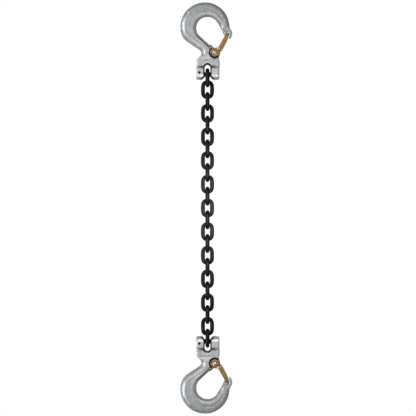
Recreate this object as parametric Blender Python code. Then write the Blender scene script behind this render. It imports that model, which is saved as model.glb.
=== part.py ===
"""A leg of short-link chain with a latched clevis hook on each end, hanging from its upper hook.

Metres, +Z up. +X points the way both hook tips face and -Y is the front. The origin is the point
of the upper hook's bowl that bears on whatever it hangs from. A hook is modelled in its own frame,
whose origin is the load pin's axis, with X towards the tip and Z towards the bowl.
"""

import math

import bmesh
import bpy
from mathutils import Vector

MM = 0.001
FREE = 0.3 * MM  # the gap between two pieces that touch

# Chain: 7 mm class, pitch three times the nominal wire
LINK_COUNT = 23
PITCH = 21.0 * MM
WIRE = 7.2 * MM  # along a link's sides
CROWN_DEPTH = 6.3 * MM  # in the link's plane, where bending thins the wire
CROWN_WIDTH = 6.8 * MM  # across the link's plane
HOLE_WIDTH = 9.0 * MM
HOLE_LENGTH = PITCH + FREE

# Load pin and the roll pin that locks it
PIN_RADIUS = 4.5 * MM
PIN_LEFT = -18.4 * MM
PIN_RIGHT = 20.0 * MM
ROLL_RADIUS = 1.5 * MM
ROLL_PLACE = (-14.5 * MM, 3.0 * MM)
ROLL_HALF_LENGTH = 8.4 * MM

# Clevis block
CLEVIS_LEFT = -19.6 * MM
CLEVIS_RIGHT = 21.2 * MM
BOSS_RADIUS = 9.2 * MM  # also the clevis's half thickness at the pin
BLOCK_HALF = 7.4 * MM  # the half thickness above the boss
SLOT_HALF = 5.2 * MM
SLOT_TOP = 17.0 * MM

# Bowl, round its centre
BOWL_CENTRE = Vector((0.0, 82.5 * MM))
BOWL_RADIUS = 19.85 * MM
BACK_CENTRE = Vector((-4.8 * MM, 84.7 * MM))
BACK_RADIUS = 43.7 * MM
TIP_LEAN = 28.5  # degrees, both the tip's lean and where the bowl's arc starts
BOWL_STEP = (90.0 - TIP_LEAN) / 6.5  # puts one flat facet square across the top
BOWL_STEPS = 19
BOWL_HALF = 10.0 * MM
SHANK_HALF = 8.4 * MM

# Latch, round its rivet
RIVET_PLACE = Vector((13.0 * MM, 39.0 * MM))
RIVET_RADIUS = 2.5 * MM
RIVET_HEAD = 4.25 * MM
TONGUE_HALF = 6.2 * MM  # the forging between the latch's two sides, at boss and tip
SHEET = 1.6 * MM
LATCH_HALF = TONGUE_HALF + FREE + SHEET
RECESS_RADIUS = 10.2 * MM

# Torsion spring in the boss's slot
SPRING_WIRE = 1.6 * MM
SPRING_RADIUS = 3.9 * MM
SPRING_PITCH = 1.7 * MM
SPRING_SLOT_HALF = 3.5 * MM

BEARING_HEIGHT = BOWL_CENTRE.y + BOWL_RADIUS * math.cos(math.radians(BOWL_STEP / 2))
PIN_TO_LINK = HOLE_LENGTH / 2 - PIN_RADIUS - FREE
UPPER_PIN_Z = -BEARING_HEIGHT
LOWER_PIN_Z = UPPER_PIN_Z - 2 * PIN_TO_LINK - (LINK_COUNT - 1) * PITCH


def material(name, colour, metallic, roughness):
    made = bpy.data.materials.new(name)
    made.use_nodes = True
    shader = made.node_tree.nodes["Principled BSDF"]
    shader.inputs["Base Color"].default_value = (*colour, 1.0)
    shader.inputs["Metallic"].default_value = metallic
    shader.inputs["Roughness"].default_value = roughness
    made.diffuse_color = (*colour, 1.0)
    return made


def empty(name, place, turn=0.0):
    """A frame for one hook, turned about X."""
    made = bpy.data.objects.new(name, None)
    bpy.context.scene.collection.objects.link(made)
    made.location = place
    made.rotation_euler = (turn, 0.0, 0.0)
    return made


def mesh_from(name, points, faces):
    """A mesh with its faces turned outwards and its round sides smooth."""
    mesh = bpy.data.meshes.new(name)
    mesh.from_pydata([tuple(point) for point in points], [], faces)
    work = bmesh.new()
    work.from_mesh(mesh)
    bmesh.ops.recalc_face_normals(work, faces=work.faces)
    work.to_mesh(mesh)
    work.free()
    mesh.shade_smooth()
    mesh.set_sharp_from_angle(angle=math.radians(32))
    return mesh


def add(name, mesh, parent=None, place=(0.0, 0.0, 0.0)):
    made = bpy.data.objects.new(name, mesh)
    bpy.context.scene.collection.objects.link(made)
    made.location = place
    made.parent = parent
    return made


def loft(name, rings, closed=False):
    """Skin between equal rings of points, with flat ends or joined end to end."""
    count = len(rings[0])
    points = [point for ring in rings for point in ring]
    faces = []
    for ring in range(len(rings) if closed else len(rings) - 1):
        here = ring * count
        there = (ring + 1) % len(rings) * count
        for corner in range(count):
            after = (corner + 1) % count
            faces.append((here + corner, here + after, there + after, there + corner))
    if not closed:
        faces.append(tuple(range(count)))
        faces.append(tuple(range(len(points) - count, len(points))))
    return mesh_from(name, points, faces)


def plate(name, outline, half):
    """An outline in X and Z, as thick as 2 x half along Y."""
    return loft(name, [[(x, y, z) for x, z in outline] for y in (-half, half)])


def turned(name, profile, centre, sides=24):
    """A profile of (radius, Y) turned round an axis along Y; the ends have radius 0."""
    rings = []
    for side in range(sides):
        angle = math.tau * side / sides
        cos, sin = math.cos(angle), math.sin(angle)
        rings.append([(centre[0] + r * cos, y, centre[1] + r * sin) for r, y in profile])
    count = len(profile)
    points = [point for ring in rings for point in ring[1:-1]]
    inner = count - 2
    first_pole = len(points)
    points += [rings[0][0], rings[0][-1]]
    faces = []
    for side in range(sides):
        here = side * inner
        there = (side + 1) % sides * inner
        for step in range(inner - 1):
            faces.append((here + step, here + step + 1, there + step + 1, there + step))
        faces.append((first_pole, here, there))
        faces.append((first_pole + 1, there + inner - 1, here + inner - 1))
    return mesh_from(name, points, faces)


def rod(name, radius, start, end, sides=24):
    """A plain round bar between two points."""
    start, end = Vector(start), Vector(end)
    along = (end - start).normalized()
    side = along.orthogonal().normalized()
    other = along.cross(side)
    ring = [math.tau * k / sides for k in range(sides)]
    rounds = [radius * (math.cos(a) * side + math.sin(a) * other) for a in ring]
    return loft(name, [[end_point + r for r in rounds] for end_point in (start, end)])


def arc(centre, radius, start, end, steps):
    """Points on an arc, angles in degrees from +X towards +Z."""
    angles = [math.radians(start + (end - start) * k / steps) for k in range(steps + 1)]
    return [(centre[0] + radius * math.cos(a), centre[1] + radius * math.sin(a)) for a in angles]


def in_mm(pairs):
    return [(x * MM, z * MM) for x, z in pairs]


def between(start, end, steps):
    """Points from start up to but not including end."""
    return [Vector(start).lerp(Vector(end), k / steps) for k in range(steps)]


def combine(target, tools, operation):
    """Applies each tool mesh to the target mesh with a Boolean and returns the new mesh."""
    base = add("work", target)
    helpers = []
    for tool in tools:
        helper = add("tool", tool)
        helpers.append(helper)
        modifier = base.modifiers.new(operation, "BOOLEAN")
        modifier.operation = operation
        modifier.solver = "EXACT"
        modifier.object = helper
    graph = bpy.context.evaluated_depsgraph_get()
    result = bpy.data.meshes.new_from_object(base.evaluated_get(graph))
    result.name = target.name
    for helper in [base, *helpers]:
        bpy.data.objects.remove(helper)
    result.shade_smooth()
    result.set_sharp_from_angle(angle=math.radians(32))
    return result


def bowl_stations():
    """(inner point, outer point, half thickness) from the tip's ledge round the bowl to the neck."""
    start = math.radians(TIP_LEAN)
    tangent = BOWL_CENTRE + BOWL_RADIUS * Vector((math.cos(start), math.sin(start)))
    ledge_inner, ledge_outer = in_mm([(24.9, 80.2), (40.6, 80.2)])
    back_start, back_end = 4.0, 212.0
    bowl_end = TIP_LEAN + BOWL_STEP * BOWL_STEPS
    outers = arc(BACK_CENTRE, BACK_RADIUS, back_start, back_end, BOWL_STEPS)
    inners = arc(BOWL_CENTRE, BOWL_RADIUS, TIP_LEAN, bowl_end, BOWL_STEPS)
    neck_inner = in_mm([(-14.6, 69.9), (5.0, 51.1)])
    neck_outer = in_mm([(-37.0, 58.1), (-15.8, 43.5)])
    stations = []
    tip_halves = (8.4 * MM, 8.8 * MM, 9.4 * MM)
    tip = zip(between(ledge_inner, tangent, 3), between(ledge_outer, outers[0], 3), tip_halves)
    stations += [(inner, outer, half) for inner, outer, half in tip]
    stations += [(inner, outer, BOWL_HALF) for inner, outer in zip(inners, outers)]
    neck_steps = 4
    for k in range(neck_steps + 1):
        part = k / neck_steps
        inner = Vector(neck_inner[0]).lerp(Vector(neck_inner[1]), part)
        outer = Vector(neck_outer[0]).lerp(Vector(neck_outer[1]), part)
        stations.append((inner, outer, BOWL_HALF + (SHANK_HALF - BOWL_HALF) * part))
    return stations


def bowl_mesh():
    """Rounded sections lofted from the tip round to the neck; each touches its inner and outer point."""
    sides, power = 16, 2 / 3
    half_step = math.pi / sides
    reach = math.cos(half_step) ** power
    rings = []
    for inner, outer, half in bowl_stations():
        inner, outer = Vector(inner), Vector(outer)
        middle, across = (inner + outer) / 2, (outer - inner) / 2
        ring = []
        for k in range(sides):
            angle = (2 * k + 1) * half_step
            cos, sin = math.cos(angle), math.sin(angle)
            along = math.copysign(abs(cos) ** power, cos) / reach
            lift = math.copysign(abs(sin) ** power, sin) / reach
            point = middle + across * along
            ring.append((point.x, half * lift, point.y))
        rings.append(ring)
    return loft("bowl", rings)


def clevis_mesh():
    """The pin's round boss, flat-faced above the pin and stepping in to the block."""
    lower = arc((0.0, 0.0), BOSS_RADIUS, 180, 360, 12)
    upper = [(BLOCK_HALF, 13.2 * MM), (BLOCK_HALF, 24.8 * MM)]
    shoulder = [(BOSS_RADIUS, 9.2 * MM)]
    right = shoulder + upper
    left = [(-y, z) for y, z in reversed(right)]
    profile = lower + right + left
    ends = ((CLEVIS_LEFT, 1.2), (CLEVIS_LEFT + 1.2 * MM, 0.0))
    rings = []
    for x, inset in ends + tuple((-x + CLEVIS_LEFT + CLEVIS_RIGHT, i) for x, i in ends[::-1]):
        shrink = 1 - inset * MM / BOSS_RADIUS
        rings.append([(x, y * shrink, z if z > 20 * MM else z * shrink) for y, z in profile])
    return loft("clevis", rings)


def shank_outline():
    """From the clevis's shoulders up to the neck, with the latch's boss on the right."""
    left = in_mm([(-19.6, 20.0), (-19.6, 24.8), (-12.6, 32.2), (-11.6, 34.4)])
    waist = in_mm([(-11.3, 37.0), (-12.0, 40.4), (-15.8, 43.5), (-13.0, 48.0)])
    neck = in_mm([(-4.0, 52.0), (5.0, 51.1), (6.9, 49.2), (9.0, 46.6)])
    boss = arc(RIVET_PLACE, 7.0 * MM, 100, -30, 8)
    right = in_mm([(21.0, 31.0), (21.2, 28.0), (21.2, 20.0)])
    return left + waist + neck + boss + right


def nose_outline():
    """The full-width nose outside the latch, and the ledge above the tip's tongue."""
    ledge = in_mm([(31.0, 83.0), (28.0, 79.2), (37.9, 76.4)])
    lip = in_mm([(37.9, 66.0), (38.3, 64.3), (39.4, 63.5), (41.3, 64.7), (43.2, 67.9)])
    outer = in_mm([(44.3, 71.8), (43.7, 75.5), (41.6, 79.0), (40.0, 82.0), (37.0, 84.0)])
    return ledge + lip + outer


def tongue_outline():
    """The thinner tongue of the tip, which the latch's two sides straddle."""
    return in_mm(
        [(24.0, 81.0), (29.4, 69.5), (31.5, 69.9), (35.0, 71.3), (38.6, 71.5), (40.5, 74.0), (38.5, 80.0)]
    )


def slot_outline(grow):
    """The clevis's slot: an arch that flares at its mouth."""
    half = SLOT_HALF + grow
    arch_centre = (0.0, SLOT_TOP - SLOT_HALF)
    mouth = 9.4 * MM + grow
    right_mouth = [(mouth, -9.6 * MM), (half + 1.6 * MM, -6.2 * MM), (half, -2.5 * MM)]
    right = [(mouth, -20 * MM), *right_mouth]
    left = [(-x, z) for x, z in reversed(right)]
    return right + arc(arch_centre, half, 0, 180, 10) + left


def slot_mesh():
    """The slot cutter, wider towards both faces so that the slot's edge is chamfered."""
    flat, deep = 7.4 * MM, 12.0 * MM
    layers = ((-deep, deep - flat), (-flat, 0.0), (flat, 0.0), (deep, deep - flat))
    return loft("slot", [[(x, y, z) for x, z in slot_outline(grow)] for y, grow in layers])


def spring_slot_outline():
    around = arc(RIVET_PLACE, 5.9 * MM, 132, 360, 12)
    open_side = in_mm([(26.0, 39.0), (26.0, 53.0), (9.05, 53.0)])
    return around + open_side


def hook_mesh():
    """One forging: bowl, tip, shank, boss and clevis."""
    solids = [
        clevis_mesh(),
        plate("shank", shank_outline(), SHANK_HALF),
        plate("nose", nose_outline(), SHANK_HALF),
        plate("tongue", tongue_outline(), TONGUE_HALF),
    ]
    body = combine(bowl_mesh(), solids, "UNION")
    cutters = [slot_mesh()]
    cutters.append(rod("bore", PIN_RADIUS + FREE, (-30 * MM, 0, 0), (30 * MM, 0, 0)))
    x, z = ROLL_PLACE
    cutters.append(rod("roll_hole", ROLL_RADIUS + FREE, (x, -15 * MM, z), (x, 15 * MM, z), 12))
    x, z = RIVET_PLACE
    hole = RIVET_RADIUS + FREE
    cutters.append(rod("rivet_hole", hole, (x, -15 * MM, z), (x, 15 * MM, z), 16))
    low = z - 1.0 * MM
    for side in (-1, 1):
        near, far = (x, side * TONGUE_HALF, low), (x, side * 15 * MM, low)
        cutters.append(rod("recess", RECESS_RADIUS, near, far, 32))
    cutters.append(plate("spring_slot", spring_slot_outline(), SPRING_SLOT_HALF))
    return combine(body, cutters, "DIFFERENCE")


def load_pin_mesh():
    """A round pin with the notch that the roll pin crosses."""
    x, z = ROLL_PLACE
    notch = rod("notch", ROLL_RADIUS + FREE, (x, -8 * MM, z), (x, 8 * MM, z), 12)
    pin = rod("load_pin", PIN_RADIUS, (PIN_LEFT, 0, 0), (PIN_RIGHT, 0, 0), 20)
    return combine(pin, [notch], "DIFFERENCE")


def latch_outline():
    """One side of the latch: the ear round the rivet and the arm up to the tip."""
    ear = arc(RIVET_PLACE, 8.3 * MM, 92, 322, 14)
    heel = in_mm([(22.9, 37.0), (23.6, 39.6), (27.1, 43.3)])
    arm_outer = in_mm([(28.8, 47.5), (34.3, 59.5), (36.6, 64.2), (37.5, 67.5), (37.6, 70.6)])
    arm_inner = in_mm([(30.7, 71.7), (29.3, 69.5), (21.3, 53.5), (19.2, 49.4), (16.8, 47.6)])
    return ear + heel + arm_outer + arm_inner


def latch_mesh():
    """A folded channel: two sides and, along the arm's outer edge, the web that joins them."""
    sides = plate("latch", latch_outline(), LATCH_HALF)
    web_ends = in_mm([(25.8, 44.3), (27.2, 47.9), (34.7, 64.3), (40.0, 64.3)])
    around = in_mm([(40.0, 90.0), (0.0, 90.0), (0.0, 20.0), (40.0, 20.0), (40.0, 41.0)])
    hollow = plate("hollow", web_ends + around, LATCH_HALF - SHEET)
    x, z = RIVET_PLACE
    hole = rod("hole", RIVET_RADIUS + FREE, (x, -15 * MM, z), (x, 15 * MM, z), 16)
    return combine(sides, [hollow, hole], "DIFFERENCE")


def rivet_mesh():
    """A rivet along Y with a domed head formed on each end."""
    seat = LATCH_HALF + FREE
    dome = 1.8 * MM
    rise = [(RIVET_HEAD * math.cos(a), seat + dome * math.sin(a)) for a in (0.0, 0.5, 1.0)]
    end = [(RIVET_RADIUS, seat), *rise, (0.0, seat + dome)]
    return turned("rivet", [(r, -y) for r, y in reversed(end)] + end, RIVET_PLACE, 16)


def spring_route():
    """The wire's centre line: latch leg, coil round the rivet, leg resting on the neck."""
    latch_leg = in_mm([(31.4, 59.0), (26.5, 49.5), (21.2, 46.6)])
    enter, leave = math.radians(126.0), math.radians(46.5 + 3 * 360)
    turn = leave - enter
    half = SPRING_PITCH * turn / math.tau / 2
    steps = 26
    route = [(x, half, z) for x, z in latch_leg]
    for k in range(steps + 1):
        angle = enter + turn * k / steps
        x = RIVET_PLACE.x + SPRING_RADIUS * math.cos(angle)
        z = RIVET_PLACE.y + SPRING_RADIUS * math.sin(angle)
        route.append((x, half - 2 * half * k / steps, z))
    neck_leg = in_mm([(7.0, 51.4), (5.0, 53.4)])
    return route + [(x, -half, z) for x, z in neck_leg]


def spring_mesh():
    """Six-sided wire along the route; each section keeps one side towards +Y."""
    route = [Vector(point) for point in spring_route()]
    rings = []
    for k, point in enumerate(route):
        before, after = route[max(k - 1, 0)], route[min(k + 1, len(route) - 1)]
        along = (after - before).normalized()
        across = Vector((0, 1, 0)).cross(along).normalized()
        up = along.cross(across)
        angles = [math.tau * (side + 0.5) / 6 for side in range(6)]
        radius = SPRING_WIRE / 2
        rings.append([point + radius * (math.cos(a) * across + math.sin(a) * up) for a in angles])
    return loft("spring", rings)


def link_mesh():
    """A link in the XZ plane: two round crowns of thinned wire joined by straight sides."""
    crown_steps, sides = 8, 8
    end_centre = HOLE_LENGTH / 2 - HOLE_WIDTH / 2
    rings = []
    for end in (1, -1):
        for k in range(crown_steps + 1):
            angle = math.pi * k / crown_steps + (0.0 if end > 0 else math.pi)
            crown = math.sin(angle) ** 2
            depth = WIRE + (CROWN_DEPTH - WIRE) * crown
            width = WIRE + (CROWN_WIDTH - WIRE) * crown
            out = Vector((math.cos(angle), 0.0, math.sin(angle)))
            centre = Vector((0.0, 0.0, end * end_centre)) + out * (HOLE_WIDTH + depth) / 2
            ring = []
            for side in range(sides):
                turn = math.tau * side / sides
                lift = Vector((0.0, width / 2 * math.sin(turn), 0.0))
                ring.append(centre + out * depth / 2 * math.cos(turn) + lift)
            rings.append(ring)
    return loft("link", rings, closed=True)


def quarter_turned(mesh):
    """A copy of a mesh turned 90 degrees about Z, so that every other link stands edge on."""
    copy = mesh.copy()
    for vertex in copy.vertices:
        x, y, z = vertex.co
        vertex.co = (-y, x, z)
    return copy


def build_chain(look):
    face_on = link_mesh()
    face_on.materials.append(look)
    edge_on = quarter_turned(face_on)
    for k in range(LINK_COUNT):
        z = UPPER_PIN_Z - PIN_TO_LINK - k * PITCH
        add(f"chain_link_{k + 1:02d}", face_on if k % 2 else edge_on, place=(0.0, 0.0, z))


def build_hook(end, pin_z, turn, shapes, looks):
    """One hook's pieces in its own frame. A moving latch hangs from an empty on the rivet's axis."""
    frame = empty(f"{end}_hook_frame", (0.0, 0.0, pin_z), turn)
    pivot = empty(f"{end}_latch_pivot", (RIVET_PLACE.x, 0.0, RIVET_PLACE.y))
    pivot.parent = frame
    back = (-RIVET_PLACE.x, 0.0, -RIVET_PLACE.y)
    for piece in ("hook_body", "load_pin", "roll_pin", "latch_rivet", "latch_spring"):
        add(f"{end}_{piece}", shapes[piece], frame)
    add(f"{end}_latch", shapes["latch"], pivot, back)
    for piece, look in looks.items():
        if not shapes[piece].materials:
            shapes[piece].materials.append(look)


def main():
    for old in list(bpy.data.objects):
        bpy.data.objects.remove(old)
    forged = material("forged_silver_paint", (0.44, 0.45, 0.46), 0.85, 0.42)
    black = material("black_oxide_steel", (0.02, 0.02, 0.022), 0.6, 0.38)
    zinc = material("yellow_zinc_steel", (0.52, 0.36, 0.14), 0.9, 0.35)
    bright = material("bright_steel", (0.62, 0.62, 0.6), 1.0, 0.3)
    x, z = ROLL_PLACE
    roll_ends = ((x, -ROLL_HALF_LENGTH, z), (x, ROLL_HALF_LENGTH, z))
    shapes = {
        "hook_body": hook_mesh(),
        "load_pin": load_pin_mesh(),
        "roll_pin": rod("roll_pin", ROLL_RADIUS, *roll_ends, 12),
        "latch": latch_mesh(),
        "latch_rivet": rivet_mesh(),
        "latch_spring": spring_mesh(),
    }
    looks = dict(zip(shapes, (forged, black, black, zinc, bright, bright)))
    build_hook("upper", UPPER_PIN_Z, 0.0, shapes, looks)
    build_chain(black)
    build_hook("lower", LOWER_PIN_Z, math.pi, shapes, looks)


main()
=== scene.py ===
"""Looks of the chain sling: forged hooks, folded latches, springs, pins and chain, each on its CAD body.

A hook's pieces are made in the hook's own frame, in millimetres: the origin is the load pin's axis, X
points to the tip, Z to the bowl and -Y to the front. The lower hook is the same pieces turned half round
about X. Most pieces are signed distance fields, negative inside, meshed where they cross zero.
"""

import math

import bmesh
import bpy
import numpy as np
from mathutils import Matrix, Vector


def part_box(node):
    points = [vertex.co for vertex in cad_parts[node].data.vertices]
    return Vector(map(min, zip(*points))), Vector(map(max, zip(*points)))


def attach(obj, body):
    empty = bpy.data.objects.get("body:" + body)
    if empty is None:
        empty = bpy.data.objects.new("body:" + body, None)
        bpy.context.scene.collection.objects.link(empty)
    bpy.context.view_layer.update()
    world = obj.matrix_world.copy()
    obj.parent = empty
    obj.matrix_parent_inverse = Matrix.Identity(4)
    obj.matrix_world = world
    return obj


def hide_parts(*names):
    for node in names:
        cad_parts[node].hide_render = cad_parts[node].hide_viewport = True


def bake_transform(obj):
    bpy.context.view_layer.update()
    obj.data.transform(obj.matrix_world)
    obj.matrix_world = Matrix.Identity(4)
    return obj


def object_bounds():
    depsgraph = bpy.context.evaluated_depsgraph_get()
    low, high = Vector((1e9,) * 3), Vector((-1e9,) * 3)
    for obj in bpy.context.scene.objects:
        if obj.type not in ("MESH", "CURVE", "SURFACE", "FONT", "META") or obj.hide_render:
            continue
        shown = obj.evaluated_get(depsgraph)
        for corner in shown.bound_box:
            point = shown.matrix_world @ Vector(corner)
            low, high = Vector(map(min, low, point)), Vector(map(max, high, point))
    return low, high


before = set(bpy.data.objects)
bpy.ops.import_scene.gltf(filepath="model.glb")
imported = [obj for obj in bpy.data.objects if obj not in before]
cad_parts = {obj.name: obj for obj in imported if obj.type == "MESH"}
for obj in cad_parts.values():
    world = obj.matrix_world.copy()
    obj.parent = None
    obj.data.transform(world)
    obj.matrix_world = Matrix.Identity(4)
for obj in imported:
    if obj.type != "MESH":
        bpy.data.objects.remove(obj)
cad_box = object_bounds()

MM = 0.001

# Chain link
WIRE = 7.2
CROWN_DEPTH, CROWN_WIDTH = 6.3, 6.8
HOLE_WIDTH, HOLE_LENGTH = 9.0, 21.3
WELD_SWELL, SIDE_PULL = 0.045, 0.28

# Pins through the clevis
PIN_RADIUS, PIN_ENDS, PIN_WEAR = 4.5, (-18.4, 20.0), 0.4
PIN_CHAMFER, CENTRE_MARK = 0.8, 0.9
ROLL_RADIUS, ROLL_PLACE, ROLL_HALF = 1.5, (-14.5, 3.0), 7.8
ROLL_BORE, ROLL_GAP, ROLL_DEPTH = 0.8, 0.6, 2.5

# Clevis block
CLEVIS_ENDS = (-19.6, 21.2)
BOSS_RADIUS, BLOCK_HALF = 9.2, 7.2
SLOPE_LOW, SLOPE_HIGH = 9.8, 14.0
SLOT_HALF, SLOT_TOP = 5.0, 17.4
SLOT_CHAMFER = 2.0

# Bowl, neck and tip
BOWL_CENTRE, BOWL_RADIUS = (0.0, 82.5), 19.85
BACK_CENTRE, BACK_RADIUS = (-4.8, 84.7), 43.7
TIP_LEAN = 28.5
BOWL_HALF, SHANK_HALF = 9.9, 8.4
BOWL_EDGE, CLEVIS_EDGE, TIP_EDGE = 8.0, 1.6, 1.8
NECK_END = TIP_LEAN + 190.5

# Latch and what turns it
RIVET_PLACE, RIVET_RADIUS, RIVET_HEAD, RIVET_DOME = (13.0, 39.0), 2.5, 4.25, 1.8
TONGUE_HALF, SHEET, LATCH_HALF = 6.2, 1.6, 8.1
RECESS_CENTRE, RECESS_RADIUS = (13.0, 38.0), 10.2
SPRING_WIRE, SPRING_RADIUS, SPRING_PITCH, SPRING_SLOT_HALF = 1.6, 3.9, 1.7, 3.5

# Room round the rivet and the roll pin, and round the load pin
HOLE_CLEARANCE, BORE_CLEARANCE = 0.2, 0.1

# Stage, in metres and watts
FLOOR_REACH, FLOOR_DROP = 6.0, 0.25
FRAME_WIDTH, FRAME_SHIFT = 0.7384, 0.0009
LENS, SENSOR = 100.0, 36.0
COOL, WARM = (0.88, 0.95, 1.0), (1.0, 0.98, 0.95)
KEY_PLACE, KEY_HEIGHT, KEY_AIM = (-0.8, -0.46), 0.45, 0.32
KEY_SIZE, KEY_POWER, KEY_BEAM = (0.9, 0.25), 0.84, 60
FRONT_PLACE = (0.05, -0.45)
FRONT_SIZE, FRONT_POWER, FRONT_BEAM = (0.5, 0.1), 1.0, 100


# Signed distance fields


def arc(centre, radius, start, end, steps):
    """Points on an arc, angles in degrees from +X towards +Z."""
    angles = np.radians(np.linspace(start, end, steps + 1))
    return [(centre[0] + radius * math.cos(a), centre[1] + radius * math.sin(a)) for a in angles]


def line_distance(path, u, v, closed=False):
    """Distance from a run of straight lines; negative inside it if it is closed."""
    ends = list(zip(path, path[1:] + path[:1])) if closed else list(zip(path, path[1:]))
    nearest = np.full(np.broadcast(u, v).shape, np.inf)
    inside = np.zeros(nearest.shape, bool)
    for (au, av), (bu, bv) in ends:
        du, dv = bu - au, bv - av
        part = np.clip(((u - au) * du + (v - av) * dv) / (du * du + dv * dv), 0, 1)
        nearest = np.minimum(nearest, np.hypot(u - au - part * du, v - av - part * dv))
        if closed and av != bv:
            inside ^= ((av > v) != (bv > v)) & (u < au + (v - av) / dv * du)
    return np.where(inside, -nearest, nearest)


def step_up(low, high, value):
    """Rises smoothly from 0 at low to 1 at high."""
    part = np.clip((value - low) / (high - low), 0, 1)
    return part * part * (3 - 2 * part)


def both(a, b, radius):
    """Where a and b overlap, with their common edge rounded to a radius."""
    a, b = a + radius, b + radius
    return np.hypot(np.maximum(a, 0), np.maximum(b, 0)) + np.minimum(np.maximum(a, b), 0) - radius


def either(a, b, blend):
    """a and b together, with a fillet where they meet."""
    near = np.maximum(blend - np.abs(a - b), 0) / blend
    return np.minimum(a, b) - near * near * blend / 4


def without(a, b, blend):
    """a with b cut out of it, and the cut's edge softened."""
    return -either(-a, b, blend)


class Space:
    """A box of sample points. A field is one value at each of them."""

    def __init__(self, low, high, step):
        self.low = np.array(low, float) - 2 * step
        self.step = step
        counts = [int((h - l) / step) + 5 for l, h in zip(low, high)]
        places = [start + step * np.arange(n) for start, n in zip(self.low, counts)]
        self.x = places[0][:, None, None]
        self.y = places[1][None, :, None]
        self.z = places[2][None, None, :]

    def mesh(self, name, field, **marks):
        """The surface where a field is zero: a point in each cell it crosses, a face across each edge.
        The convex attribute is above 0 on an outer edge and below 0 in a hollow. Each mark is another
        field, kept as an attribute."""
        cells = np.array(field.shape) - 1
        total = np.zeros((int(cells.prod()), 3))
        count = np.zeros(len(total))
        quads = []
        for axis in range(3):
            first = np.take(field, range(cells[axis]), axis)
            second = np.take(field, range(1, cells[axis] + 1), axis)
            edges = np.argwhere((first < 0) != (second < 0))
            here, there = first[tuple(edges.T)], second[tuple(edges.T)]
            points = edges.astype(float)
            points[:, axis] += here / (here - there)
            across, up = (axis + 1) % 3, (axis + 2) % 3
            corners = []
            for shift in ((0, 0), (-1, 0), (-1, -1), (0, -1)):
                cell = edges.copy()
                cell[:, across] += shift[0]
                cell[:, up] += shift[1]
                flat = np.ravel_multi_index(tuple(cell.T), tuple(cells))
                corners.append(flat)
                count += np.bincount(flat, minlength=len(count))
                for k in range(3):
                    total[:, k] += np.bincount(flat, weights=points[:, k], minlength=len(count))
            faces = np.stack(corners, 1)
            quads.append(np.where((here < 0)[:, None], faces, faces[:, ::-1]))
        used = np.flatnonzero(count)
        number = np.full(len(count), -1)
        number[used] = np.arange(len(used))
        points = total[used] / count[used, None]
        made = mesh_of(name, (self.low + points * self.step) * MM, number[np.concatenate(quads)])
        give(made, "convex", self.convexity(field, points))
        for mark, values in marks.items():
            give(made, mark, between_samples(np.broadcast_to(values, field.shape), points))
        return made

    def convexity(self, field, points):
        """How much a field rises on all sides of each point, at a reach of three cells."""
        reach = 3
        padded = np.pad(field, reach, mode="edge")
        around = -6.0 * field
        for axis in range(3):
            for shift in (-reach, reach):
                around += np.roll(padded, shift, axis)[reach:-reach, reach:-reach, reach:-reach]
        nearest = np.round(points).astype(int)
        return around[tuple(nearest.T)] / (reach * self.step)


def between_samples(values, points):
    """Values at points that lie between the samples, from the eight samples round each."""
    first = np.floor(points).astype(int)
    part = points - first
    total = np.zeros(len(points))
    for corner in np.ndindex(2, 2, 2):
        weight = np.prod(np.where(corner, part, 1 - part), axis=1)
        total += weight * values[tuple((first + corner).T)]
    return total


def mesh_of(name, points, faces):
    """A smooth-shaded mesh from arrays of points and of quads."""
    made = bpy.data.meshes.new(name)
    made.vertices.add(len(points))
    made.vertices.foreach_set("co", np.asarray(points, np.float32).ravel())
    made.loops.add(faces.size)
    made.loops.foreach_set("vertex_index", faces.astype(np.int32).ravel())
    made.polygons.add(len(faces))
    made.polygons.foreach_set("loop_start", np.arange(0, faces.size, 4, dtype=np.int32))
    made.update(calc_edges=True)
    made.shade_smooth()
    return made


def give(mesh, name, values):
    """Keeps one number for each vertex, which the materials read by name."""
    attribute = mesh.attributes.new(name, "FLOAT", "POINT")
    attribute.data.foreach_set("value", np.asarray(values, np.float32))


def waves(x, y, z, length, seed):
    """Soft unevenness between about -1 and 1, from waves that cross at random."""
    chance = np.random.default_rng(seed)
    total = 0.0
    count = 7
    for _ in range(count):
        direction = chance.normal(size=3)
        direction *= math.tau / length / np.linalg.norm(direction) * chance.uniform(0.6, 1.6)
        total = total + np.sin(direction @ np.array([x, y, z], object) + chance.uniform(0, math.tau))
    return total / math.sqrt(count)


# Hook forging


def bowl_inside():
    """The line round the inside of the hook, from the tip's ledge to the boss."""
    return [(24.9, 80.2), *arc(BOWL_CENTRE, BOWL_RADIUS, TIP_LEAN, NECK_END, 40), (5.0, 51.1)]


def hook_back():
    """The line round the outside of the hook, from the waist to above the nose."""
    waist = arc((-18.7, 37.5), 7.4, -48, 48, 10)
    shoulder = [(-33.2, 56.0), (-36.9, 58.6), (-40.0, 61.3), (-42.8, 64.6)]
    return [*waist, *shoulder, *arc(BACK_CENTRE, BACK_RADIUS, 203, 4, 56)]


def hook_outline():
    """The whole forging above the clevis as one closed line."""
    nose = [(39.6, 83.6), (41.2, 79.8), (43.3, 76.6), (44.2, 73.0), (43.6, 69.2), (42.3, 66.0)]
    nose += [(40.8, 64.0), (39.4, 63.5), (38.3, 64.2), (37.9, 66.0), (37.9, 71.5)]
    tongue = [(35.0, 71.3), (31.5, 69.9), (29.4, 69.5)]
    boss = [(6.9, 49.2), (9.0, 46.6), *arc(RIVET_PLACE, 7.0, 100, -30, 14), (21.0, 31.0), (21.2, 28.0)]
    block = [(21.2, 14.0), (-19.6, 14.0), (-19.6, 24.8)]
    return hook_back() + nose + tongue + bowl_inside() + boss + block


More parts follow.
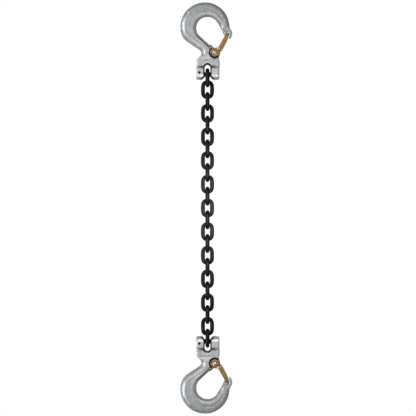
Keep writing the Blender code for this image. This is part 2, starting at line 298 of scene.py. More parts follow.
def clevis_face(z):
    """Half the clevis's thickness at a height: round boss, slope, block."""
    down = np.clip((z - SLOPE_LOW) / (SLOPE_HIGH - SLOPE_LOW), 0, 1)
    return BOSS_RADIUS + (BLOCK_HALF - BOSS_RADIUS) * down


def clevis_field(s):
    """The block that holds the load pin, a prism along X with rounded ends."""
    below = arc((0.0, 0.0), BOSS_RADIUS, 180, 360, 32)
    right = [(BOSS_RADIUS, SLOPE_LOW), (7.9, 12.4), (BLOCK_HALF, 15.4), (BLOCK_HALF, 24.0)]
    left = [(-y, z) for y, z in reversed(right)]
    across = line_distance(below + right + left, s.y, s.z, closed=True)
    middle, half = sum(CLEVIS_ENDS) / 2, (CLEVIS_ENDS[1] - CLEVIS_ENDS[0]) / 2
    rounding = CLEVIS_EDGE * (1 + step_up(10.0, 16.0, s.x))
    return both(across, np.abs(s.x - middle) - half, rounding)


def slot_field(s):
    """The slot that the first link hangs in: an arch with a flared mouth."""
    half = SLOT_HALF
    mouth = [(30.0, -20.0), (11.5, -10.2), (9.4, -9.0), (7.0, -6.2), (5.6, -3.9), (half, -1.5)]
    left = [(-x, z) for x, z in reversed(mouth)]
    outline = mouth + arc((0.0, SLOT_TOP - half), half, 0, 180, 24) + left
    return line_distance(outline, s.x, s.z, closed=True)


def slot_cut(s):
    """The slot, wider towards both faces so that its edge is chamfered."""
    return slot_field(s) - np.maximum(np.abs(s.y) - (clevis_face(s.z) - SLOT_CHAMFER), 0)


def pads_field(s):
    """Plain raised bars along the bowl, where a forging carries its marks."""
    radius = np.hypot(s.x - BOWL_CENTRE[0], s.z - BOWL_CENTRE[1])
    angle = np.degrees(np.arctan2(s.z - BOWL_CENTRE[1], s.x - BOWL_CENTRE[0]))
    bars = [(34.6, 104.0 - 9.0 * k, 2.1, 1.3) for k in range(5)]
    bars += [(43.0, 138.0, 3.4, 2.0), (35.5, 38.0, 1.2, 3.6), (34.0, 24.0, 1.2, 2.6)]
    nearest = np.inf
    for reach, turn, along, tall in bars:
        side = np.abs(np.radians(angle - turn) * reach) - along
        lift = np.abs(radius - reach) - tall
        nearest = np.minimum(nearest, both(side, lift, min(along, tall) * 0.8))
    return nearest


def neck_groove(s):
    """1 along the line that sets off a narrow strip at the neck's inner edge, 0 away from it."""
    line = [*arc(BOWL_CENTRE, BOWL_RADIUS + 4.0, 198, NECK_END, 8), (2.3, 48.2), (4.9, 43.6)]
    away = line_distance(line, s.x, s.z)
    return np.exp(-(away**2)) * step_up(78, 56, s.z)


def forging_half(s, inside, outside):
    """Half the forging's thickness: full in the bowl, with a dished panel between its two edges."""
    dish_depth, thinning_depth, pad_height, groove_depth = 0.6, 2.4, 0.5, 0.9
    neck = step_up(50, 74, s.z)
    tip = step_up(80, 96, s.z)
    fullness = neck + (tip - neck) * step_up(0, 25, s.x)
    half = SHANK_HALF + (BOWL_HALF - SHANK_HALF) * fullness
    half = half - (SHANK_HALF - BLOCK_HALF) * step_up(36.0, 20.0, s.z)
    dish = step_up(5.0, 11.0, inside) * step_up(6.5, 13.0, outside) * step_up(44, 56, s.z)
    thinning = (inside / (inside + outside)) ** 2 * step_up(52, 75, s.z)
    pads = step_up(0.5, -0.3, pads_field(s))
    lowered = dish_depth * dish + thinning_depth * thinning + groove_depth * neck_groove(s)
    return half - lowered + pad_height * pads


def edge_rounding(s, inside, outside):
    """The radius of the forging's edges: large in the bowl and at the waist, small elsewhere."""
    left = step_up(-4, -24, s.x)
    waist = step_up(-1, -6, s.x) * step_up(30, 37, s.z)
    bowl = step_up(48, 66, s.z)
    inner = 6.6 * bowl
    outer = np.minimum(5.8 * np.maximum(bowl, waist) + 2.2 * np.maximum(left * bowl, waist), BOWL_EDGE)
    outward = step_up(-3, 5, inside - outside)
    tip = step_up(20, 30, s.x) * step_up(90, 78, s.z)
    rounding = CLEVIS_EDGE + inner + (outer - inner) * outward
    return rounding * (1 - tip) + TIP_EDGE * tip


def hook_field(s):
    """One forging: bowl, tip, shank, boss and clevis, with its holes and recesses."""
    inset, flash_height, unevenness, fillet = 0.3, 0.22, 0.04, 2.2
    outline = line_distance(hook_outline(), s.x, s.z, closed=True)
    inside = line_distance(bowl_inside(), s.x, s.z)
    outside = line_distance(hook_back(), s.x, s.z)
    flash = flash_height * np.exp(-((s.y / 0.8) ** 2)) * step_up(30, 36, s.z)
    faces = np.abs(s.y) - forging_half(s, inside, outside)
    forging = both(outline + inset - flash, faces, edge_rounding(s, inside, outside))
    forging = forging + unevenness * waves(s.x, s.y, s.z, 16.0, 3)
    body = either(forging, clevis_field(s), fillet)
    body = without(body, slot_cut(s), 0.5)
    body = without(body, np.hypot(s.y, s.z) - (PIN_RADIUS + BORE_CLEARANCE), 0.5)
    roll_hole = np.hypot(s.x - ROLL_PLACE[0], s.z - ROLL_PLACE[1]) - ROLL_RADIUS
    body = without(body, roll_hole, 0.6)
    return without(body, latch_room(s), 0.7)


def latch_room(s):
    """What is cut away for the latch: seat, spring's slot, rivet's hole and the tip's pockets."""
    x, z = RIVET_PLACE
    from_rivet = np.hypot(s.x - x, s.z - z)
    seat = np.hypot(s.x - RECESS_CENTRE[0], s.z - RECESS_CENTRE[1]) - RECESS_RADIUS
    seat = both(seat, TONGUE_HALF - np.abs(s.y), 0.5)
    slot = arc(RIVET_PLACE, 5.9, 132, 360, 20) + [(30.0, 39.0), (30.0, 60.0), (9.6, 60.0), (9.05, 50.0)]
    slot = line_distance(slot, s.x, s.z, closed=True)
    slot = both(slot, np.abs(s.y) - SPRING_SLOT_HALF, 0.4)
    pocket = [(22.0, 80.6), (28.0, 79.0), (37.9, 76.2), (37.9, 60.0), (22.0, 60.0)]
    pocket = line_distance(pocket, s.x, s.z, closed=True)
    pocket = both(pocket, TONGUE_HALF - np.abs(s.y), 0.8)
    hole = from_rivet - (RIVET_RADIUS + HOLE_CLEARANCE)
    return np.minimum(np.minimum(seat, slot), np.minimum(pocket, hole))


def hook_mesh(step):
    """The forging, with the mark of painted shade and greasy scale that its paint reads."""
    s = Space((-49.5, -10.6, -10.0), (45.5, 10.6, 129.5), step)
    return s.mesh("hook_forging", hook_field(s), grime=grime_field(s))


def grime_field(s):
    """1 where the paint is darkened: dark greasy scale round the slot, and painted shade on the slope
    above the boss, in the latch's seat, in the bores, along the neck's inner edge and groove, and in the
    corner by the spring's leg.
    """
    slot = step_up(2.9, 2.1, slot_field(s)) * step_up(1.0, 2.5, np.hypot(s.x, s.z + 30.0) - 15.0)
    # Painted shade on the slope above the boss, where the face turns upwards.
    slope = 0.66 * step_up(9.4, 11.0, s.z) * step_up(17.0, 15.0, s.z) * step_up(24.0, 9.0, np.abs(s.x))
    # Painted shadow in the ring round the latch's seat.
    seat = np.hypot(s.x - RECESS_CENTRE[0], s.z - RECESS_CENTRE[1]) - RECESS_RADIUS
    seat = step_up(1.0, 0.2, seat)
    # Painted shade in the load pin's bore and in the roll pin's hole.
    bores = step_up(0.5, 0.1, np.hypot(s.y, s.z) - PIN_RADIUS)
    roll = step_up(1.1, 0.7, np.hypot(s.x - ROLL_PLACE[0], s.z - ROLL_PLACE[1]) - ROLL_RADIUS)
    inside = line_distance(bowl_inside(), s.x, s.z)
    # Painted shade along the neck's inner edge, in its groove and in the corner by the spring's leg.
    edge = 0.42 * step_up(4.6, 2.6, inside) * step_up(62, 54, s.z) * step_up(44, 48, s.z)
    groove = 0.95 * neck_groove(s)
    corner = 0.7 * step_up(3.6, 1.6, line_distance([(9.0, 48.0), (5.6, 51.0)], s.x, s.z))
    total = slot
    for part in (slope, seat, bores, roll, edge, groove, corner):
        total = np.maximum(total, part)
    return total


# Pins and rivet


def load_pin_mesh(step):
    """A chamfered pin, worn where the link bears, with centre marks and the roll pin's notch."""
    s = Space((-19.0, -5.0, -5.0), (20.6, 5.0, 5.0), step)
    middle, half = sum(PIN_ENDS) / 2, (PIN_ENDS[1] - PIN_ENDS[0]) / 2
    from_axis = np.hypot(s.y, s.z)
    end = np.abs(s.x - middle) - half
    side = from_axis - PIN_RADIUS + PIN_WEAR * step_up(4.8, 4.0, np.abs(s.x))
    chamfer = (from_axis - PIN_RADIUS + end + PIN_CHAMFER) / math.sqrt(2)
    pin = np.maximum(both(side, end, 0.3), chamfer)
    notch = np.hypot(s.x - ROLL_PLACE[0], s.z - ROLL_PLACE[1]) - (ROLL_RADIUS + HOLE_CLEARANCE)
    pin = without(pin, notch, 0.3)
    mark = (from_axis + np.abs(end) - CENTRE_MARK) / math.sqrt(2)
    return s.mesh("load_pin", without(pin, mark, 0.3))


def roll_pin_mesh(step):
    """A spring pin: sheet rolled to a tube that stays open along one side, blind further in."""
    x, z = ROLL_PLACE
    reach = ROLL_RADIUS + 0.3
    s = Space((x - reach, -ROLL_HALF - 0.3, z - reach), (x + reach, ROLL_HALF + 0.3, z + reach), step)
    from_axis = np.hypot(s.x - x, s.z - z)
    end = np.abs(s.y) - ROLL_HALF
    chamfer = (from_axis - ROLL_RADIUS + end + 0.5) / math.sqrt(2)
    outer = np.maximum(both(from_axis - ROLL_RADIUS, end, 0.15), chamfer)
    opening = np.maximum(np.abs(s.x - x) - ROLL_GAP / 2, z - s.z)
    hollow = np.maximum(np.minimum(from_axis - ROLL_BORE, opening), -end - ROLL_DEPTH)
    return s.mesh("roll_pin", without(outer, hollow, 0.15))


def rivet_mesh(step):
    """A rivet with a domed head on each end, flattened where it was pressed."""
    flattened, unevenness = 0.1, 0.03
    x, z = RIVET_PLACE
    reach = RIVET_HEAD + 0.4
    seat, dome = LATCH_HALF + 0.3, RIVET_DOME
    s = Space((x - reach, -seat - 2.2, z - reach), (x + reach, seat + 2.2, z + reach), step)
    from_axis = np.hypot(s.x - x, s.z - z)
    ball = (RIVET_HEAD**2 + dome**2) / (2 * dome)
    height = np.abs(s.y) - seat
    cap = np.hypot(from_axis, height + ball - dome) - ball
    head = both(both(cap, -height, 0.25), height - dome + flattened, 0.5)
    head = head + unevenness * waves(s.x, s.y, s.z, 4.0, 11)
    shank = both(from_axis - RIVET_RADIUS, height, 0.1)
    return s.mesh("latch_rivet", either(head, shank, 0.4))


# Latch


def latch_outline():
    """One side of the latch: the ear round the rivet and the arm up to the tip."""
    ear = arc(RIVET_PLACE, 7.5, 95, 305, 30)
    heel = [(19.8, 33.3), (21.4, 34.4), (22.3, 36.2), (22.6, 40.2), (23.1, 41.3), (25.3, 42.0)]
    arm_outer = [(26.7, 44.3), (29.0, 49.4), (33.7, 58.0), (36.4, 63.9), (37.3, 67.0), (37.7, 69.4)]
    arm_outer += [(37.5, 71.0)]
    arm_inner = [(33.6, 72.0), (32.4, 70.8), (27.6, 62.4), (22.6, 53.4)]
    arm_inner += [(20.9, 50.4), (18.6, 48.3), (15.8, 46.8)]
    return ear + heel + arm_outer + arm_inner


def latch_mesh(step):
    """Sheet folded to a channel: two sides, wider apart above the ears, and the web on the outer edge."""
    joggle, sharp, outer_bend, inner_bend = 0.7, 0.3, 2.3, 0.8
    s = Space((4.3, -9.2, 30.3), (38.2, 9.2, 72.2), step)
    outline = line_distance(latch_outline(), s.x, s.z, closed=True)
    bend_line = [(26.4, 43.8), (29.0, 49.4), (33.7, 58.0), (35.6, 62.4)]
    bend = step_up(7.0, 3.0, line_distance(bend_line, s.x, s.z))
    along = 0.5 * (s.x - RIVET_PLACE[0]) + 0.87 * (s.z - RIVET_PLACE[1])
    half = LATCH_HALF + joggle * step_up(7.0, 11.0, along)
    outer = both(outline, np.abs(s.y) - half, 0.35 + outer_bend * bend)
    web = [(25.1, 44.8), (27.6, 50.3), (32.3, 58.9), (34.7, 64.3), (44.0, 64.3)]
    web += [(44.0, 90.0), (0.0, 90.0), (0.0, 20.0)]
    hollow = line_distance(web + [(44.0, 20.0), (44.0, 40.6)], s.x, s.z, closed=True)
    hollow = both(hollow, np.abs(s.y) - (half - SHEET), sharp + inner_bend * bend)
    sheet = without(outer, hollow, sharp)
    from_rivet = np.hypot(s.x - RIVET_PLACE[0], s.z - RIVET_PLACE[1])
    sheet = without(sheet, from_rivet - (RIVET_RADIUS + HOLE_CLEARANCE), sharp)
    edge = step_up(5.2, 3.2, line_distance(bend_line, s.x, s.z))
    # Painted highlight: the shoulder mark, where the sheet steps out, is painted bright orange.
    shoulder = step_up(4.5, 1.0, np.hypot(s.x - 18.2, s.z - 46.4))
    # Painted shade along the heel's edge, and a painted shadow under the tip where it tucks into the
    # pocket.
    heel_line = [(21.0, 33.6), (21.5, 38.0), (21.7, 42.0), (22.6, 45.6)]
    heel_crease = step_up(1.7, 0.6, line_distance(heel_line, s.x, s.z))
    tip_crease = step_up(1.8, 0.4, line_distance([(34.0, 72.0), (37.5, 70.8)], s.x, s.z))
    crease = np.maximum(heel_crease, tip_crease)
    return s.mesh("latch", sheet, bend=edge, shoulder=shoulder, crease=crease)


# Wire and chain


def ring_faces(rings, sides, closed):
    """Quads between each ring of points and the next, and from the last ring to the first if closed."""
    faces = []
    for ring in range(rings if closed else rings - 1):
        here, there = ring * sides, (ring + 1) % rings * sides
        for side in range(sides):
            after = (side + 1) % sides
            faces.append((here + side, here + after, there + after, there + side))
    return np.array(faces)


def tube_mesh(name, route, radii, sides):
    """Round wire along points, with a radius at each point."""
    points = []
    last = len(route) - 1
    for k, (point, radius) in enumerate(zip(route, radii)):
        along = (route[min(k + 1, last)] - route[max(k - 1, 0)]).normalized()
        across = Vector((0, 1, 0)).cross(along).normalized()
        up = along.cross(across)
        for side in range(sides):
            turn = math.tau * side / sides
            points.append(point + radius * (math.cos(turn) * across + math.sin(turn) * up))
    return mesh_of(name, np.array(points) * MM, ring_faces(len(route), sides, closed=False))


def smooth_route(points, steps):
    """More points along a smooth curve through a route's own (Catmull-Rom)."""
    points = [Vector(p) for p in points]
    padded = [2 * points[0] - points[1], *points, 2 * points[-1] - points[-2]]
    made = []
    for a, b, c, d in zip(padded, padded[1:], padded[2:], padded[3:]):
        linear, square, cube = c - a, 2 * a - 5 * b + 4 * c - d, 3 * b - a - 3 * c + d
        for k in range(steps):
            t = k / steps
            made.append(0.5 * (2 * b + linear * t + square * t**2 + cube * t**3))
    return made + [points[-1]]


def spring_route():
    """The wire's centre line: latch leg, coil round the rivet, leg resting on the neck."""
    enter, leave = math.radians(126.0), math.radians(46.5 + 3 * 360)
    turn = leave - enter
    half = SPRING_PITCH * turn / math.tau / 2
    steps = 24
    route = [(x, half, z) for x, z in ((31.2, 59.0), (28.6, 54.3), (26.0, 49.8), (20.8, 46.5))]
    for k in range(steps + 1):
        angle = enter + turn * k / steps
        x = RIVET_PLACE[0] + SPRING_RADIUS * math.cos(angle)
        z = RIVET_PLACE[1] + SPRING_RADIUS * math.sin(angle)
        route.append((x, half - 2 * half * k / steps, z))
    return route + [(x, -half, z) for x, z in ((7.3, 50.1), (4.7, 52.5))]


def spring_mesh():
    """The spring's wire, with both ends closed."""
    tip, full = 0.01, SPRING_WIRE / 2
    route = smooth_route(spring_route(), 5)
    radii = [tip, *[full] * len(route), tip]
    return tube_mesh("latch_spring", [route[0], *route, route[-1]], radii, 16)


def link_section(run, straight, round_end):
    """What a section of wire hangs on, at a run round half a link from the middle of one side: a point on
    the link's middle line, the way out from it, and how near the section is to the crown."""
    if run < straight / 2:
        return Vector((0, 0, run)), Vector((1, 0, 0)), 0.0
    if run > straight / 2 + round_end:
        return Vector((0, 0, straight + round_end - run)), Vector((-1, 0, 0)), 0.0
    angle = (run - straight / 2) / round_end * math.pi
    out = Vector((math.cos(angle), 0, math.sin(angle)))
    return Vector((0, 0, straight / 2)), out, math.sin(angle) ** 2


def link_mesh():
    """A link in the XZ plane: thinned crowns, barrel sides and the bulge of the weld on one of them."""
    steps, sides = 112, 28
    straight, round_end = HOLE_LENGTH - HOLE_WIDTH, math.pi * (HOLE_WIDTH + WIRE) / 2
    whole = 2 * (straight + round_end)
    points, wear = [], []
    for k in range(steps):
        run = whole * k / steps
        end = 1 if run < whole / 2 else -1
        base, out, crown = link_section(run if end > 0 else run - whole / 2, straight, round_end)
        base, out = end * base, end * out
        depth = WIRE + (CROWN_DEPTH - WIRE) * crown
        width = WIRE + (CROWN_WIDTH - WIRE) * crown
        centre = base + out * (HOLE_WIDTH + depth) / 2
        pull = 0.0
        if crown < 0.5:
            pull = SIDE_PULL * math.exp(-(((abs(centre.z) - 8.0) / 3.2) ** 2)) * (1 - crown)
        bulge = math.exp(-((centre.z / 1.5) ** 2)) if centre.x > 0 else 0.0
        swell = 1 + WELD_SWELL * bulge
        for side in range(sides):
            turn = math.tau * side / sides
            offset = out * (depth / 2 * math.cos(turn) * swell - pull)
            offset += Vector((0, width / 2 * math.sin(turn) * swell, 0))
            points.append(centre + offset)
            wear.append(crown**3 * max(-math.cos(turn), 0) ** 2)
    made = mesh_of("chain_link", np.array(points) * MM, ring_faces(steps, sides, closed=True))
    work = bmesh.new()
    work.from_mesh(made)
    bmesh.ops.recalc_face_normals(work, faces=work.faces)
    work.to_mesh(made)
    work.free()
    give(made, "wear", wear)
    return made


# Materials


class Look:
    """A Principled material and short ways to add nodes to it."""

    def __init__(self, name, metallic, roughness):
        self.made = bpy.data.materials.new(name)
        self.made.use_nodes = True
        self.tree = self.made.node_tree
        self.shader = self.tree.nodes["Principled BSDF"]
        self.shader.inputs["Metallic"].default_value = metallic
        self.shader.inputs["Roughness"].default_value = roughness
        self.place = self.node("ShaderNodeTexCoord").outputs["Object"]

    def node(self, kind, **settings):
        """A new node of a kind, with its settings."""
        made = self.tree.nodes.new(kind)
        for key, value in settings.items():
            setattr(made, key, value)
        return made

    def join(self, source, socket):
        """Links a node's output to an input."""
        self.tree.links.new(source, socket)

    def noise(self, size_mm, detail=4.0, roughness=0.55, stretch=None):
        """Noise with features about size_mm across, drawn out along an axis whose stretch is small."""
        made = self.node("ShaderNodeTexNoise")
        made.inputs["Scale"].default_value = 1 / (size_mm * MM)
        made.inputs["Detail"].default_value = detail
        made.inputs["Roughness"].default_value = roughness
        source = self.place
        if stretch:
            mapping = self.node("ShaderNodeMapping")
            mapping.inputs["Scale"].default_value = stretch
            self.join(source, mapping.inputs["Vector"])
            source = mapping.outputs["Vector"]
        self.join(source, made.inputs["Vector"])
        return made.outputs["Fac"]

    def ramp(self, source, *stops):
        """A colour for each place along 0 to 1."""
        made = self.node("ShaderNodeValToRGB")
        elements = made.color_ramp.elements
        while len(elements) < len(stops):
            elements.new(0.5)
        for element, (place, colour) in zip(elements, stops):
            element.position = place
            element.color = (*colour, 1.0)
        self.join(source, made.inputs["Fac"])
        return made.outputs["Color"]

    def spread(self, source, low, high, to_low=0.0, to_high=1.0):
        """A number moved from one range to another, and held inside it."""
        made = self.node("ShaderNodeMapRange")
        ranges = {"From Min": low, "From Max": high, "To Min": to_low, "To Max": to_high}
        for key, value in ranges.items():
            made.inputs[key].default_value = value
        self.join(source, made.inputs["Value"])
        return made.outputs["Result"]

    def value(self, name):
        """One of the mesh's attributes."""
        made = self.node("ShaderNodeAttribute", attribute_name=name)
        return made.outputs["Fac"]

    def mix(self, factor, first, second, how="MIX"):
        """Mixes two colours; factor, first and second are sockets or plain values."""
        made = self.node("ShaderNodeMix", data_type="RGBA", blend_type=how)
        for key, value in ((0, factor), (6, first), (7, second)):
            if isinstance(value, bpy.types.NodeSocket):
                self.join(value, made.inputs[key])
            else:
                made.inputs[key].default_value = value if key == 0 else (*value, 1.0)
        return made.outputs[2]

    def sum(self, first, second, how="ADD"):
        """Two numbers added, or put together in another way; each is a socket or a plain value."""
        made = self.node("ShaderNodeMath", operation=how)
        for key, value in enumerate((first, second)):
            if isinstance(value, bpy.types.NodeSocket):
                self.join(value, made.inputs[key])
            else:
                made.inputs[key].default_value = value
        return made.outputs[0]

    def bump(self, height, depth_mm, strength=1.0, under=None):
        """A normal bumped by a height, on top of another bump if one is under it."""
        made = self.node("ShaderNodeBump")
        made.inputs["Distance"].default_value = depth_mm * MM
        made.inputs["Strength"].default_value = strength
        self.join(height, made.inputs["Height"])
        if under is not None:
            self.join(under, made.inputs["Normal"])
        return made.outputs["Normal"]

    def finish(self, colour, roughness, normal):
        """Joins what was made to the shader, and gives the material."""
        for key, source in (("Base Color", colour), ("Roughness", roughness), ("Normal", normal)):
            self.join(source, self.shader.inputs[key])
        return self.made


def forged_look():
    """Drop-forged steel under silver paint: scale-blasted texture and rubbed edges, with painted shade in
    the hollows, and painted shade and dark greasy scale where the mesh's darkening mark lies.
    """
    blue_grey, silver, pale = (0.49, 0.50, 0.52), (0.60, 0.61, 0.61), (0.67, 0.67, 0.65)
    dull, pit, bare = (0.36, 0.37, 0.37), (0.27, 0.28, 0.29), (0.7, 0.7, 0.68)
    # Near-black for painted shade in grooves, holes and recesses, and for greasy scale round the slot.
    shade, grease_and_shade_black = (0.09, 0.095, 0.1), (0.012, 0.012, 0.014)
    look = Look("forged_silver", 0.6, 0.4)
    colour = look.ramp(look.noise(9.0, 3.0), (0.32, blue_grey), (0.52, silver), (0.72, pale))
    mottle = look.spread(look.noise(2.6, 4.0, 0.65), 0.48, 0.68, 0.0, 0.32)
    colour = look.mix(mottle, colour, dull)
    speckle = look.spread(look.noise(0.9, 2.0), 0.56, 0.70, 0.0, 0.35)
    colour = look.mix(speckle, colour, pit)
    broken = look.sum(look.value("convex"), look.spread(look.noise(2.4), 0.3, 0.7, -0.12, 0.12))
    rubbed = look.spread(broken, 0.32, 0.75)
    # Painted shade: hollows darken towards the shade colour.
    hollow = look.spread(broken, -0.12, -0.6)
    colour = look.mix(look.sum(rubbed, 0.55, "MULTIPLY"), colour, bare)
    colour = look.mix(look.sum(hollow, 0.75, "MULTIPLY"), colour, shade)
    ragged = look.spread(look.noise(1.5), 0.3, 0.7, -0.2, 0.2)
    # Painted shade and grease: the mark darkens the paint towards near black.
    grime = look.spread(look.sum(look.value("grime"), ragged), 0.2, 0.8)
    colour = look.mix(look.sum(grime, 0.95, "MULTIPLY"), colour, grease_and_shade_black)
    rough = look.spread(look.noise(3.0), 0.3, 0.7, 0.42, 0.52)
    rough = look.sum(rough, look.sum(rubbed, 0.1, "MULTIPLY"), "SUBTRACT")
    grain = look.bump(look.noise(0.55, 3.0, 0.6), 0.05, 0.3)
    normal = look.bump(look.noise(3.0, 2.0), 0.18, 0.35, under=grain)
    return look.finish(colour, rough, normal)


def black_look(name, worn):
    """Black finish on chain and pins; worn is the attribute, if any, that marks where it is rubbed."""
    soot, black, steel = (0.003, 0.003, 0.0035), (0.007, 0.007, 0.008), (0.16, 0.155, 0.15)
    look = Look(name, 0.0, 0.36)
    look.shader.inputs["Specular IOR Level"].default_value = 0.16
    colour = look.ramp(look.noise(3.0), (0.35, soot), (0.7, black))
    if worn:
        ragged = look.spread(look.noise(1.1, 5.0), 0.35, 0.65, -0.25, 0.25)
        rubbed = look.spread(look.sum(look.value(worn), ragged), 0.45, 0.95, 0.0, 0.75)
        colour = look.mix(rubbed, colour, steel)
    rough = look.spread(look.noise(1.6), 0.3, 0.7, 0.28, 0.46)
    grain = look.bump(look.noise(0.5, 3.0), 0.05, 0.5)
    normal = look.bump(look.noise(2.5, 2.0), 0.2, 0.35, under=grain)
    return look.finish(colour, rough, normal)


def zinc_look():
    """Yellow-passivated zinc: gold that drifts to olive and pink, with rolled-sheet grain, a painted
    highlight on the shoulder, and painted shade in creases and hollows.
    """
    gold, tan, pink = (0.56, 0.32, 0.11), (0.52, 0.28, 0.12), (0.52, 0.26, 0.16)
    olive, amber, bright = (0.40, 0.33, 0.10), (0.75, 0.47, 0.17), (1.0, 0.62, 0.26)
    painted_shade_brown, rubbed, shade = (0.09, 0.055, 0.025), (0.6, 0.45, 0.25), (0.10, 0.07, 0.03)
    look = Look("yellow_zinc", 0.85, 0.3)
    colour = look.ramp(look.noise(7.0, 2.0), (0.3, gold), (0.5, tan), (0.7, pink))
    outer = look.ramp(look.noise(9.0, 2.0), (0.42, olive), (0.6, amber))
    # The shoulder mark paints a highlight; the crease mark paints shade.
    for mark, most, tint in (("bend", 0.85, outer), ("shoulder", 0.9, bright), ("crease", 0.7, painted_shade_brown)):
        colour = look.mix(look.spread(look.value(mark), 0.0, 1.0, 0.0, most), colour, tint)
    convex = look.value("convex")
    colour = look.mix(look.spread(convex, 0.3, 0.9, 0.0, 0.35), colour, rubbed)
    colour = look.mix(look.spread(convex, -0.15, -0.7, 0.0, 0.8), colour, shade)
    rough = look.spread(look.noise(1.5, 3.0), 0.3, 0.7, 0.24, 0.4)
    normal = look.bump(look.noise(0.35, 2.0, 0.5, (0.25, 1.0, 0.25)), 0.03, 0.4)
    return look.finish(colour, rough, normal)


def bright_look(name, tint):
    """Plain bright steel with fine scratches."""
    look = Look(name, 0.9, 0.36)
    colour = look.ramp(look.noise(1.2), (0.35, tuple(0.75 * c for c in tint)), (0.7, tint))
    rough = look.spread(look.noise(0.8, 3.0), 0.3, 0.7, 0.3, 0.46)
    normal = look.bump(look.noise(0.3, 2.0, 0.5, (1.0, 0.2, 1.0)), 0.03, 0.5)
    return look.finish(colour, rough, normal)


# Assembly


def centre_of(node):
    """The middle of a CAD node's box."""
    low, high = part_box(node)
    return (Vector(low) + Vector(high)) / 2


def place(name, mesh, look, spot, turn=0.0):
    """A piece in place, turned about X."""
    made = bpy.data.objects.new(name, mesh)
    bpy.context.scene.collection.objects.link(made)
    made.location = spot
    made.rotation_euler = (turn, 0.0, 0.0)
    if not mesh.materials:
        mesh.materials.append(look)
    return made


def stand_for(piece, node, body):
    """Puts a piece in a CAD node's stead, to ride on one body."""
    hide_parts(node)
    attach(piece, body)


def build_hook(end, turn, shapes, looks):
    """One hook's pieces on its hook body and its latch body, at the CAD's load pin."""
    pin = centre_of(f"{end}_load_pin")
    spot = Vector((0.0, 0.0, pin.z))
    hook, latch = f"{end}_hook", f"{end}_latch"
    pieces = (
        ("hook_body", hook, "forged_silver"),
        ("load_pin", hook, "black_pin"),
        ("roll_pin", hook, "black_pin"),
        ("latch_rivet", hook, "bright_steel"),
        ("latch", latch, "yellow_zinc"),
    )
    for piece, body, slot in pieces:
        made = place(f"{end}_{piece}_detail", shapes[piece], looks[piece], spot, turn)
        stand_for(made, f"{end}_{piece}", body)
    spring_shape = shapes["latch_spring"].copy()
    spring = place(f"{end}_latch_spring_detail", spring_shape, looks["latch_spring"], spot, turn)
    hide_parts(f"{end}_latch_spring")
    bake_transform(spring)


def build_chain(look):
    """The links: every other one stands edge on, and the weld's side changes along the chain."""
    weld_turns = (90, 0, -90, 180)
    link = link_mesh()
    nodes = sorted(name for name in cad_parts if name.startswith("chain_link_"))
    for k, node in enumerate(nodes):
        made = place(f"{node}_detail", link, look, centre_of(node))
        made.rotation_euler = (0.0, 0.0, math.radians(weld_turns[k % 4]))
        stand_for(made, node, f"link_{k + 1:02d}")


def stage():
    """Pale floor, studio world, soft lights and camera."""
    low, high = cad_box
    middle = (low + high) / 2
    scene = bpy.context.scene
    scene.view_settings.view_transform = "Standard"
    lay_floor(low.z - FLOOR_DROP)
    scene.world = bpy.data.worlds.new("studio")
    studio_world(scene.world)
    for end, side in (("upper", 1.0), ("lower", -1.0)):
        spot = (*KEY_PLACE, middle.z + KEY_HEIGHT * side)
        bowl = (0.0, 0.0, middle.z + KEY_AIM * side)
        softbox(f"{end}_key", spot, bowl, KEY_SIZE, KEY_POWER, KEY_BEAM, COOL)
    softbox("front", (*FRONT_PLACE, middle.z), middle, FRONT_SIZE, FRONT_POWER, FRONT_BEAM, WARM)
    scene.camera = front_camera(middle.z)


def lay_floor(height):
    """A wide flat floor under the object."""
    mesh = bpy.data.meshes.new("floor")
    square = ((-1, -1), (1, -1), (1, 1), (-1, 1))
    corners = [(x * FLOOR_REACH, y * FLOOR_REACH, height) for x, y in square]
    mesh.from_pydata(corners, [], [(0, 1, 2, 3)])
    mesh.materials.append(floor_look())
    floor = bpy.data.objects.new("floor", mesh)
    bpy.context.scene.collection.objects.link(floor)


def front_camera(height):
    """A long lens square on to the object, as far off as fills the frame's width."""
    data = bpy.data.cameras.new("camera")
    data.lens, data.sensor_width = LENS, SENSOR
    camera = bpy.data.objects.new("camera", data)
    bpy.context.scene.collection.objects.link(camera)
    camera.location = (FRAME_SHIFT, -FRAME_WIDTH * LENS / SENSOR, height)
    camera.rotation_euler = (math.pi / 2, 0.0, 0.0)
    return camera


def floor_look():
    """Matt white near the object; further off the camera sees plain white."""
    fade_start, fade_end = 0.95, 1.35
    look = Look("pale_floor", 0.0, 0.9)
    look.shader.inputs["Base Color"].default_value = (0.85, 0.85, 0.85, 1.0)
    white = look.node("ShaderNodeEmission")
    white.inputs["Strength"].default_value = 1.0
    away = look.node("ShaderNodeVectorMath", operation="LENGTH")
    look.join(look.place, away.inputs[0])
    far = look.spread(away.outputs["Value"], fade_start, fade_end)
    seen = look.node("ShaderNodeLightPath").outputs["Is Camera Ray"]
    blend = look.node("ShaderNodeMixShader")
    look.join(look.sum(far, seen, "MULTIPLY"), blend.inputs["Fac"])
    look.join(look.shader.outputs["BSDF"], blend.inputs[1])
    look.join(white.outputs["Emission"], blend.inputs[2])
    look.join(blend.outputs["Shader"], look.tree.nodes["Material Output"].inputs["Surface"])
    return look.made


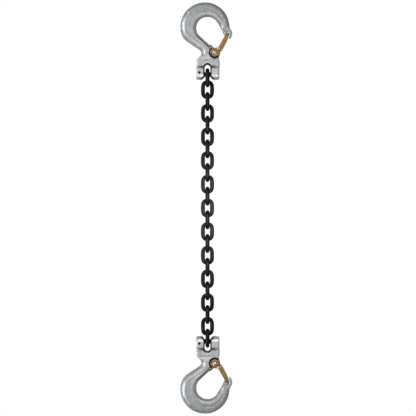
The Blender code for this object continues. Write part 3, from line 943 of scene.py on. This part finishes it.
def studio_world(world):
    """White to the camera. It lights the object softly from front and back, and little from the sides."""
    world.use_nodes = True
    tree = world.node_tree
    tree.nodes.clear()
    coordinates = tree.nodes.new("ShaderNodeTexCoord")
    split = tree.nodes.new("ShaderNodeSeparateXYZ")
    tree.links.new(coordinates.outputs["Generated"], split.inputs["Vector"])
    level = tree.nodes.new("ShaderNodeValToRGB")
    stops = ((0.0, 0.47), (0.14, 0.41), (0.36, 0.14), (0.64, 0.14), (1.0, 0.42))
    elements = level.color_ramp.elements
    while len(elements) < len(stops):
        elements.new(0.5)
    for element, (spot, grey) in zip(elements, stops):
        element.position = spot
        element.color = (grey, grey, grey, 1.0)
    forward = tree.nodes.new("ShaderNodeMapRange")
    forward.inputs["From Min"].default_value = -1.0
    tree.links.new(split.outputs["Y"], forward.inputs["Value"])
    tree.links.new(forward.outputs["Result"], level.inputs["Fac"])
    lit = tree.nodes.new("ShaderNodeBackground")
    tree.links.new(level.outputs["Color"], lit.inputs["Color"])
    seen = tree.nodes.new("ShaderNodeBackground")
    seen.inputs["Color"].default_value = (1.0, 1.0, 1.0, 1.0)
    path = tree.nodes.new("ShaderNodeLightPath")
    mix = tree.nodes.new("ShaderNodeMixShader")
    tree.links.new(path.outputs["Is Camera Ray"], mix.inputs["Fac"])
    tree.links.new(lit.outputs["Background"], mix.inputs[1])
    tree.links.new(seen.outputs["Background"], mix.inputs[2])
    output = tree.nodes.new("ShaderNodeOutputWorld")
    tree.links.new(mix.outputs["Shader"], output.inputs["Surface"])


def softbox(name, spot, target, size, power, beam, colour):
    """An area light that the camera does not see. Its light stays within the beam, in degrees."""
    data = bpy.data.lights.new(name, "AREA")
    data.color = colour
    data.spread = math.radians(beam)
    data.shape = "RECTANGLE"
    data.size, data.size_y = size
    data.energy = power
    made = bpy.data.objects.new(name, data)
    bpy.context.scene.collection.objects.link(made)
    made.location = spot
    made.rotation_euler = (Vector(target) - Vector(spot)).to_track_quat("-Z", "Y").to_euler()
    made.visible_camera = False


def main():
    """Builds every piece and the stage."""
    coarse = 1.0
    shapes = {
        "hook_body": hook_mesh(0.5 * coarse),
        "load_pin": load_pin_mesh(0.35 * coarse),
        "roll_pin": roll_pin_mesh(0.16 * coarse),
        "latch_rivet": rivet_mesh(0.25 * coarse),
        "latch": latch_mesh(0.32 * coarse),
        "latch_spring": spring_mesh(),
    }
    looks = {
        "hook_body": forged_look(),
        "load_pin": black_look("black_pin", "convex"),
        "roll_pin": black_look("black_roll_pin", None),
        "latch_rivet": bright_look("bright_steel", (0.6, 0.6, 0.58)),
        "latch": zinc_look(),
        "latch_spring": bright_look("spring_steel", (0.32, 0.24, 0.13)),
    }
    build_hook("upper", 0.0, shapes, looks)
    build_chain(black_look("black_chain", "wear"))
    build_hook("lower", math.pi, shapes, looks)
    stage()


main()
